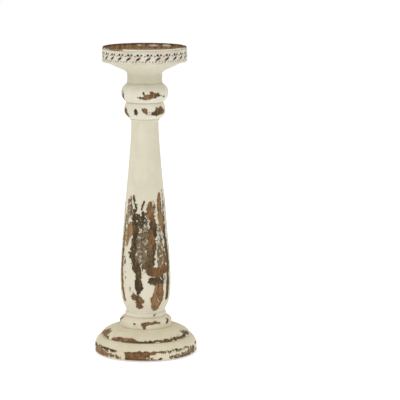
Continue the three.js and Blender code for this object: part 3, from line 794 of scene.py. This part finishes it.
dowel_radius = 8 * mm
flute_depth = 0.25 * mm
flute_count = 24
dowel_outline = [(0, low.z), (dowel_radius - 1 * mm, low.z)]
dowel_outline += line(dowel_outline[-1], (dowel_radius, low.z + 1 * mm), 0.5 * mm)
dowel_outline += line(dowel_outline[-1], (dowel_radius, high.z - 1 * mm), 4 * mm)
dowel_outline += line(dowel_outline[-1], (dowel_radius - 1 * mm, high.z), 0.5 * mm)
dowel_outline += [(0, high.z)]
bm = turned(dowel_outline, flute_count * 6)
for vert in bm.verts:
    flat = Vector((vert.co.x, vert.co.y))
    if flat.length > dowel_radius - 0.1 * mm:
        cut = max(0, math.cos(math.atan2(flat.y, flat.x) * flute_count)) ** 2
        flat *= 1 - flute_depth * cut / dowel_radius
        vert.co.xy = flat
dowel = finished(bm, "top_dowel_fluted", bare_wood)
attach(dowel, "root")
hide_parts("top_dowel")

# ---- Pan ----
# A dish spun from sheet steel with a rolled rim, which sits on the capital and holds the candle.
# Its rim is painted cream like the wood, and inside it has rubbed through to brown metal, darker
# towards the rim as painted shade. Behind the strip its outside is painted near black as painted
# shade.

rusty_steel = [(0.0, colour(0.46, 0.30, 0.16)), (0.35, colour(0.26, 0.150, 0.070)),
               (0.7, colour(0.090, 0.058, 0.030)), (1.0, colour(0.030, 0.024, 0.018))]
pan_paint = distressed(
    "worn_cream_pan", (1, 1, 0.4), cool_cream, rusty_steel, film=0.12, blotches=0.8,
)

low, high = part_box("pan")
capital_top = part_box("capital")[1].z
sheet = 1.2 * mm
pan_radius = 61.4 * mm
wall_inside = pan_radius - sheet
bead_radius = 1.1 * mm
bead_middle = Vector((pan_radius - sheet / 2, high.z - bead_radius))
pan_base = capital_top + 0.1 * mm
pan_floor = pan_base + sheet
dimple_radius = 7 * mm
bead_start, bead_end = math.radians(-60), math.radians(240)
bead = [
    tuple(bead_middle + bead_radius * Vector((math.cos(turn), math.sin(turn))))
    for turn in np.linspace(bead_start, bead_end, 22).tolist()
]
pan_outline = [(screw_bore, low.z), (dimple_radius + sheet, pan_base)]
pan_outline += line(pan_outline[-1], (wall_inside, pan_base), 4 * mm)
pan_outline += bend(pan_outline[-1], (pan_radius - 0.5 * mm, pan_base),
                    (pan_radius, pan_base + 0.5 * mm), (pan_radius, pan_base + sheet), 0.4 * mm)
pan_outline += line(pan_outline[-1], (pan_radius, bead[0][1] - 0.2 * mm), 1 * mm) + bead
pan_outline += line(pan_outline[-1], (wall_inside, pan_floor + sheet), 0.8 * mm)
pan_outline += bend(pan_outline[-1], (wall_inside, pan_floor + 0.5 * mm),
                    (wall_inside - 0.5 * mm, pan_floor), (wall_inside - sheet, pan_floor), 0.4 * mm)
pan_outline += line(pan_outline[-1], (dimple_radius, pan_floor), 2 * mm)
pan_outline += line(pan_outline[-1], (screw_bore, low.z + sheet), 1 * mm)
pan_outline += [(screw_bore, low.z)]
pan = finished(turned(pan_outline, 300), "pan_spun", pan_paint)


def worn_inside_and_painted_shade(place, normal):
    radius = np.hypot(place[:, 0], place[:, 1])
    inside = (radius < wall_inside / mm + 0.5) & (place[:, 2] < high.z / mm - 0.5)
    hidden = place[:, 2] < high.z / mm - 2.6
    # Inside, the brown metal gets darker towards the rim: painted shade of the rim.
    rim_painted_shade = np.clip((place[:, 2] - (high.z / mm - 4)) / 4, 0, 1)
    # Behind the strip the outside wall is painted near black: painted shade seen through the
    # strip's holes.
    depth_tone = np.where(radius > wall_inside / mm + 0.5, 0.95, 0.18 + 0.45 * rim_painted_shade)
    return inside | hidden, depth_tone


wear_down(pan, [
    mark(0.3, [(-66, 457, 1.0), (-52, 456.6, 1.6), (-40, 456, 1.5), (-30, 456.6, 1.0)]),
    mark(0.8, [(-88, 457, 1.0), (-70, 457.2, 0.8)], flecks=0.2),
    mark(0.8, [(60, 457.4, 0.7), (88, 457.2, 1.0), (100, 457.2, 0.9)], flecks=0.2),
    mark(0.75, [(112, 457.2, 1.2), (180, 457.4, 1.5), (268, 457.2, 1.2)], flecks=0.2),
], kept=[
    mark(0, [(191, 453.4, 1.0), (187, 453.6, 1.5)]),
    mark(0, [(174, 453.0, 1.1), (168, 453.0, 2.1), (164, 453.0, 1.1)]),
    mark(0, [(155, 453.6, 1.1), (148, 453.9, 2.1), (142, 453.9, 1.3)]),
    mark(0, [(20, 453, 2.0), (36, 452.6, 1.6)]),
    mark(0, [(80, 453.6, 1.4), (92, 453, 1.6)]),
    mark(0, [(262, 453.4, 1.6), (270, 453, 1.4)]),
], bare_or_shaded=worn_inside_and_painted_shade, film=0.1 * mm, broken=0.4)
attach(pan, "root")
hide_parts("pan")

# ---- Pierced strip ----
# A band of thin steel, pierced and stamped with a running leaf, bent round the pan and the edge
# of the capital so that its ends meet at the back. It is painted cream, darkened with dirt and
# painted shade in the hollows, round the holes and beside its beads.

low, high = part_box("gallery_strip")
strip_sheet = 0.36 * mm
strip_outside = 62.3 * mm
strip_height = high.z - low.z
motif_count = 27
motif_columns = 38
strip_rows = 30
end_gap = 0.3 * mm
seam_angle = math.radians(85)
motif_width = math.tau * strip_outside / motif_count
hole_height = strip_height - 5.4 * mm
leaf_height = strip_height - 11 * mm
hole_rim_lift = 0.28 * mm
border_lift = 0.32 * mm
# Middle, half length, half width and tilt of each pierced hole in a motif.
holes = [
    (Vector((-2.5 * mm, hole_height)), 1.5 * mm, 1.4 * mm, 0),
    (Vector((2.5 * mm, hole_height)), 1.1 * mm, 1.05 * mm, 0),
    (Vector((-2.0 * mm, leaf_height)), 3.2 * mm, 1.15 * mm, math.radians(30)),
]
# Middle, half length, half width, tilt and height of each stamped swelling or hollow.
stamps = [
    (Vector((2.9 * mm, leaf_height + 0.7 * mm)), 3.6 * mm, 1.7 * mm, math.radians(34), 0.55 * mm),
    (Vector((-3.6 * mm, leaf_height + 2.9 * mm)), 2.4 * mm, 1.1 * mm, math.radians(28), 0.3 * mm),
    (Vector((0.2 * mm, 4.4 * mm)), 1.4 * mm, 0.9 * mm, 0, -0.35 * mm),
    (Vector((-5.2 * mm, 4.2 * mm)), 2.2 * mm, 1.0 * mm, math.radians(38), -0.35 * mm),
    (Vector((4.8 * mm, 3.8 * mm)), 1.7 * mm, 0.9 * mm, math.radians(38), -0.3 * mm),
    (Vector((-6.6 * mm, hole_height - 1.6 * mm)), 2.0 * mm, 1.1 * mm, 0.4, -0.35 * mm),
    (Vector((0.4 * mm, hole_height - 1.9 * mm)), 1.9 * mm, 0.8 * mm, 0.5, -0.3 * mm),
]


def ellipse_place(point, middle, half_length, half_width, tilt):
    """Where a point is in an ellipse's own measure, in which its outline is 1 from its middle."""
    own = Matrix.Rotation(-tilt, 2) @ (point - middle)
    return Vector((own.x / half_length, own.y / half_width))


def stamped_height(point):
    """How far the stamping lifts the sheet at a point of one motif, and how dark it is painted
    there, for dirt and painted shade in the hollows, round the holes and beside the border beads.
    """
    lift, dirt = 0.0, 0.0
    for middle, half_length, half_width, tilt, height in stamps:
        for neighbour in (-motif_width, 0, motif_width):
            other = middle + Vector((neighbour, 0))
            away = ellipse_place(point, other, half_length, half_width, tilt).length
            swell = math.exp(-2.2 * away**4)
            lift += height * swell
            if height < 0:
                dirt = max(dirt, 1.6 * swell)
    for middle, half_length, half_width, tilt in holes:
        away = (ellipse_place(point, middle, half_length, half_width, tilt).length - 1) * half_width
        lift += hole_rim_lift * math.exp(-((away - 0.35 * mm) / (0.4 * mm)) ** 2)
        dirt = max(dirt, 1.1 * math.exp(-((away / (0.55 * mm)) ** 2)))
    for edge_height, wave in ((1.2 * mm, 0.0), (strip_height - 1.6 * mm, 0.35 * mm)):
        swing = wave * math.cos(2 * math.tau * point.x / motif_width)
        away = (point.y - edge_height - swing) / (0.5 * mm)
        lift += border_lift * math.exp(-(away**2))
        dirt = max(dirt, 0.5 * math.exp(-((abs(away) - 1.9) ** 2) * 3))
    return lift, dirt


bm = bmesh.new()
bmesh.ops.create_grid(bm, x_segments=motif_columns, y_segments=strip_rows, size=0.5)
for vert in bm.verts:
    vert.co.x *= motif_width
    vert.co.y = (vert.co.y + 0.5) * strip_height
pierced = [
    face for face in bm.faces
    if any(ellipse_place(face.calc_center_median().xy, *hole).length < 1 for hole in holes)
]
bmesh.ops.delete(bm, geom=pierced, context="FACES")
dirt_and_shade_layer = bm.verts.layers.float.new("dirt")
for vert in bm.verts:
    point = vert.co.xy
    if vert.is_boundary and abs(point.x) < motif_width * 0.49 and (
            0.1 * mm < point.y < strip_height - 0.1 * mm):
        middle, half_length, half_width, tilt = min(
            holes, key=lambda hole: abs(ellipse_place(point, *hole).length - 1))
        own = ellipse_place(point, middle, half_length, half_width, tilt).normalized()
        snapped = Matrix.Rotation(tilt, 2) @ Vector((own.x * half_length, own.y * half_width))
        vert.co.xy = middle + snapped
    lift, dirt = stamped_height(vert.co.xy)
    vert.co.z = lift
    vert[dirt_and_shade_layer] = dirt
bmesh.ops.dissolve_degenerate(bm, dist=0.04 * mm, edges=bm.edges)
one_motif = list(bm.verts) + list(bm.edges) + list(bm.faces)
for number in range(1, motif_count):
    copied = bmesh.ops.duplicate(bm, geom=one_motif)["geom"]
    moved = [part for part in copied if isinstance(part, bmesh.types.BMVert)]
    bmesh.ops.translate(bm, verts=moved, vec=(number * motif_width, 0, 0))
bmesh.ops.remove_doubles(bm, verts=bm.verts, dist=0.02 * mm)
strip_length = motif_count * motif_width
for vert in bm.verts:
    along = (vert.co.x + motif_width / 2) * (strip_length - end_gap) / strip_length
    turn = seam_angle + along / strip_outside
    radius = strip_outside + min(vert.co.z, 0.55 * mm) - 0.25 * mm
    vert.co = (radius * math.cos(turn), radius * math.sin(turn), low.z + vert.co.y)
bmesh.ops.recalc_face_normals(bm, faces=bm.faces)
if bm.faces[0].normal.dot(Vector((*bm.faces[0].calc_center_median().xy, 0))) < 0:
    bmesh.ops.reverse_faces(bm, faces=bm.faces)
inner_skin = bmesh.ops.extrude_face_region(bm, geom=bm.faces)["geom"]
for vert in [part for part in inner_skin if isinstance(part, bmesh.types.BMVert)]:
    vert.co.xy *= 1 - strip_sheet / vert.co.xy.length
bmesh.ops.recalc_face_normals(bm, faces=bm.faces)

strip_paint, start, shader = new_material("cream_stamped_steel")
place = start.node("ShaderNodeTexCoord", output=3)
dirt = start.node("ShaderNodeAttribute", {"attribute_name": "dirt"}, output=2)


def strip_cloud(wavelength, detail=3.0):
    return start.mottled(place, wavelength, Detail=detail) - 0.5


fine = strip_cloud(1.5 * mm, 5.0)
patchy = strip_cloud(14 * mm)
# The hollows, the rims of the holes and the lines beside the beads go dark: dirt, and painted shade
# in those recesses.
grime_and_shade = (dirt * (0.95 + patchy * 1.2) + fine * 1.6 - 0.08).clipped()
paint = (0.5 + patchy * 1.8 + fine * 0.8).clipped().mixed(
    colour(0.63, 0.59, 0.47), colour(0.75, 0.715, 0.61))
dirt_and_shade_colour = (0.5 + patchy * 2.5).clipped().mixed(
    colour(0.11, 0.08, 0.05), colour(0.24, 0.19, 0.13))
rust = ((strip_cloud(22 * mm) + fine * 0.3 - 0.02) * 6.0).clipped() * (0.2 + dirt * 0.7)
paint = rust.clipped().mixed(paint, colour(0.50, 0.33, 0.20))
feed(shader, "Base Color", (grime_and_shade * 0.9).mixed(paint, dirt_and_shade_colour))
feed(shader, "Roughness", 0.6 + fine * 0.3 + grime_and_shade * 0.2)
shader.inputs["Specular IOR Level"].default_value = 0.25
feed(shader, "Normal", start.node("ShaderNodeBump", inputs={
    "Height": fine - grime_and_shade * 0.5, "Distance": 0.25 * mm, "Strength": 0.7}))
strip = finished(bm, "gallery_strip_stamped", strip_paint)
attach(strip, "root")
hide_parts("gallery_strip")

# ---- Strip pins ----
# Three round-headed brass pins, driven through the strip into the capital and painted over.

pin_middle = 441.5 * mm
pin_seat = strip_outside + 0.3 * mm
pin_head_radius = 1.3 * mm
for number in range(3):
    pin_outline = [(0, -8 * mm), (0.6 * mm, -7 * mm), (0.6 * mm, 0), (pin_head_radius, 0)]
    pin_outline += bend(pin_outline[-1], (pin_head_radius, 0.4 * mm),
                        (0.8 * mm, 0.7 * mm), (0, 0.7 * mm), 0.2 * mm)
    bm = turned(pin_outline, 24)
    # The foot of each head, where it meets the strip, is darker: dirt, and painted shade under the
    # head.
    dirt_and_shade_layer = bm.verts.layers.float.new("dirt")
    for vert in bm.verts:
        vert[dirt_and_shade_layer] = 0.8 if vert.co.z < 0.15 * mm else 0.1
    turn = seam_angle + number * math.tau / 3
    outwards = Vector((math.cos(turn), math.sin(turn), 0))
    aim = outwards.to_track_quat("Z", "Y").to_matrix().to_4x4()
    seat = outwards * pin_seat + Vector((0, 0, pin_middle))
    bmesh.ops.transform(bm, matrix=Matrix.Translation(seat) @ aim, verts=bm.verts)
    pin = finished(bm, f"strip_pin_{number + 1}_round_head", strip_paint)
    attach(pin, "root")
    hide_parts(f"strip_pin_{number + 1}")

# ---- Pan screw ----
# A slotted countersunk wood screw that holds the pan down, its head flush in the dimple.

zinc, start, shader = new_material("dull_zinc_plate")
place = start.node("ShaderNodeTexCoord", output=3)
spangle = start.node("ShaderNodeTexVoronoi", inputs={"Vector": place, "Scale": 1 / (1.4 * mm)},
                     output="Color")
haze = start.mottled(place, 2.5 * mm, Detail=4.0)
spangle = start.node("ShaderNodeSeparateColor", inputs={0: spangle})
shader.inputs["Metallic"].default_value = 1.0
feed(shader, "Base Color", (spangle * 0.4 + haze * 0.6).clipped().mixed(
    colour(0.30, 0.29, 0.27), colour(0.62, 0.61, 0.58)))
feed(shader, "Roughness", 0.28 + haze * 0.3 + spangle * 0.08)

low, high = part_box("pan_screw")
head_radius = 3.8 * mm
screw_radius = 1.8 * mm
slot_width = 0.9 * mm
slot_depth = 0.8 * mm
screw_outline = [(0, low.z), (screw_radius, low.z + 3 * mm)]
screw_outline += line(screw_outline[-1], (screw_radius, high.z - 2.4 * mm), 4 * mm)
screw_outline += [(head_radius - 0.1 * mm, high.z - 0.1 * mm), (head_radius - 0.2 * mm, high.z),
                  (0, high.z)]
bm = turned(screw_outline, 48)
crown = [face for face in bm.faces if face.normal.z > 0.9 and
         face.calc_center_median().z > high.z - 0.05 * mm]
bmesh.ops.dissolve_faces(bm, faces=crown)
for side in (-1, 1):
    bmesh.ops.bisect_plane(
        bm, geom=list(bm.verts) + list(bm.edges) + list(bm.faces), dist=0.001 * mm,
        plane_co=(0, side * slot_width / 2, 0), plane_no=(0, 1, 0),
    )
slot_face = [face for face in bm.faces if face.normal.z > 0.9 and
             abs(face.calc_center_median().y) < 0.1 * mm]
slot_geometry = bmesh.ops.extrude_discrete_faces(bm, faces=slot_face)["faces"]
slot_floor = {vert for face in slot_geometry for vert in face.verts}
bmesh.ops.scale(bm, vec=(0.78, 1, 1), verts=list(slot_floor))
bmesh.ops.translate(bm, vec=(0, 0, -slot_depth), verts=list(slot_floor))
bmesh.ops.recalc_face_normals(bm, faces=bm.faces)
pan_screw = finished(bm, "pan_screw_slotted", zinc, smooth=False)
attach(pan_screw, "root")
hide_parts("pan_screw")

# ---- Base screw and washer ----
# A hex-headed lag screw and a plain washer in the counterbore under the plinth. They pull the
# stem's tenon down into the base.

low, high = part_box("base_screw")
head_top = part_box("base_washer")[0].z - 0.1 * mm
hex_radius = 5.8 * mm
shank_radius = 3 * mm
bm = bmesh.new()
bmesh.ops.create_cone(bm, cap_ends=True, segments=6, radius1=hex_radius, radius2=hex_radius,
                      depth=head_top - low.z)
bmesh.ops.translate(bm, vec=(0, 0, (head_top + low.z) / 2), verts=bm.verts)
rims = [edge for edge in bm.edges if abs(edge.verts[0].co.z - edge.verts[1].co.z) < 0.1 * mm]
bmesh.ops.bevel(bm, geom=rims, offset=0.5 * mm, offset_type="OFFSET", segments=2, profile=0.5,
                affect="EDGES", material=-1)
shank_outline = [(0, head_top - 1 * mm), (shank_radius, head_top - 1 * mm)]
pitch = 2.4 * mm
thread_start = head_top + 10 * mm
shank_outline += line(shank_outline[-1], (shank_radius, thread_start), 3 * mm)
for turn in range(int((high.z - 5 * mm - thread_start) / pitch)):
    foot_height = thread_start + turn * pitch
    shank_outline += [(shank_radius - 0.7 * mm, foot_height + 0.4 * mm),
                      (shank_radius - 0.7 * mm, foot_height + 1.6 * mm),
                      (shank_radius, foot_height + pitch)]
shank_outline += [(shank_radius - 0.6 * mm, high.z - 4 * mm), (0, high.z)]
shank = turned(shank_outline, 32)
shank_mesh = bpy.data.meshes.new("base_screw_shank")
shank.to_mesh(shank_mesh)
shank.free()
bm.from_mesh(shank_mesh)
bpy.data.meshes.remove(shank_mesh)
base_screw = finished(bm, "base_screw_hex_head", zinc, smooth=False)
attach(base_screw, "root")
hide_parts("base_screw")

low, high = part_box("base_washer")
washer_radius = 9 * mm
washer_bore = 3.15 * mm
washer_outline = [(washer_bore, low.z)]
washer_outline += line(washer_outline[-1], (washer_radius - 0.3 * mm, low.z), 3 * mm)
washer_outline += bend(washer_outline[-1], (washer_radius, low.z), (washer_radius, high.z),
                       (washer_radius - 0.1 * mm, high.z), 0.4 * mm)
washer_outline += [(washer_bore, high.z), (washer_bore, low.z)]
base_washer = finished(turned(washer_outline, 64), "base_washer_plain", zinc)
base_washer.data.set_sharp_from_angle(angle=math.radians(40))
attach(base_washer, "root")
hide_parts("base_washer")

# ---- Felt pads ----
# Four stick-on discs of brown felt under the plinth. Their top edge is crisp where it was
# punched, and the nap rounds their lower edge.

felt, start, shader = new_material("brown_felt")
place = start.node("ShaderNodeTexCoord", output=3)
matted = start.mottled(place, 0.5 * mm, Detail=5.0, Roughness=0.75, Distortion=1.5)
pilled = start.mottled(place, 3 * mm)
feed(shader, "Base Color", ((matted - 0.5) * 1.8 + pilled).clipped().mixed(
    colour(0.10, 0.065, 0.040), colour(0.30, 0.21, 0.14)))
shader.inputs["Roughness"].default_value = 0.95
shader.inputs["Sheen Weight"].default_value = 0.4
shader.inputs["Specular IOR Level"].default_value = 0.1
feed(shader, "Normal", start.node("ShaderNodeBump", inputs={
    "Height": matted, "Distance": 0.4 * mm, "Strength": 1.0}))
for number in range(1, 5):
    low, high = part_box(f"foot_pad_{number}")
    middle = (low + high) / 2
    pad_radius = (high.x - low.x) / 2 + 0.1 * mm
    pad_outline = [(0, low.z)]
    pad_outline += line(pad_outline[-1], (pad_radius - 0.6 * mm, low.z), 0.7 * mm)
    pad_outline += bend(pad_outline[-1], (pad_radius, low.z), (pad_radius, low.z + 0.3 * mm),
                        (pad_radius, low.z + 0.8 * mm), 0.25 * mm)
    pad_outline += [(pad_radius - 0.1 * mm, high.z), (0, high.z)]
    bm = turned(pad_outline, 64)
    bmesh.ops.translate(bm, vec=(middle.x, middle.y, 0), verts=bm.verts)
    bm.normal_update()
    for vert in bm.verts:
        nap = noise.fractal(vert.co / (1.1 * mm), 1.0, 2.0, 3) * 0.12 * mm
        lifted = vert.co + vert.normal * nap
        vert.co = (lifted.x, lifted.y, min(max(lifted.z, 0.02 * mm), high.z))
    pad = finished(bm, f"foot_pad_{number}_felt", felt)
    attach(pad, "root")
    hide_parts(f"foot_pad_{number}")
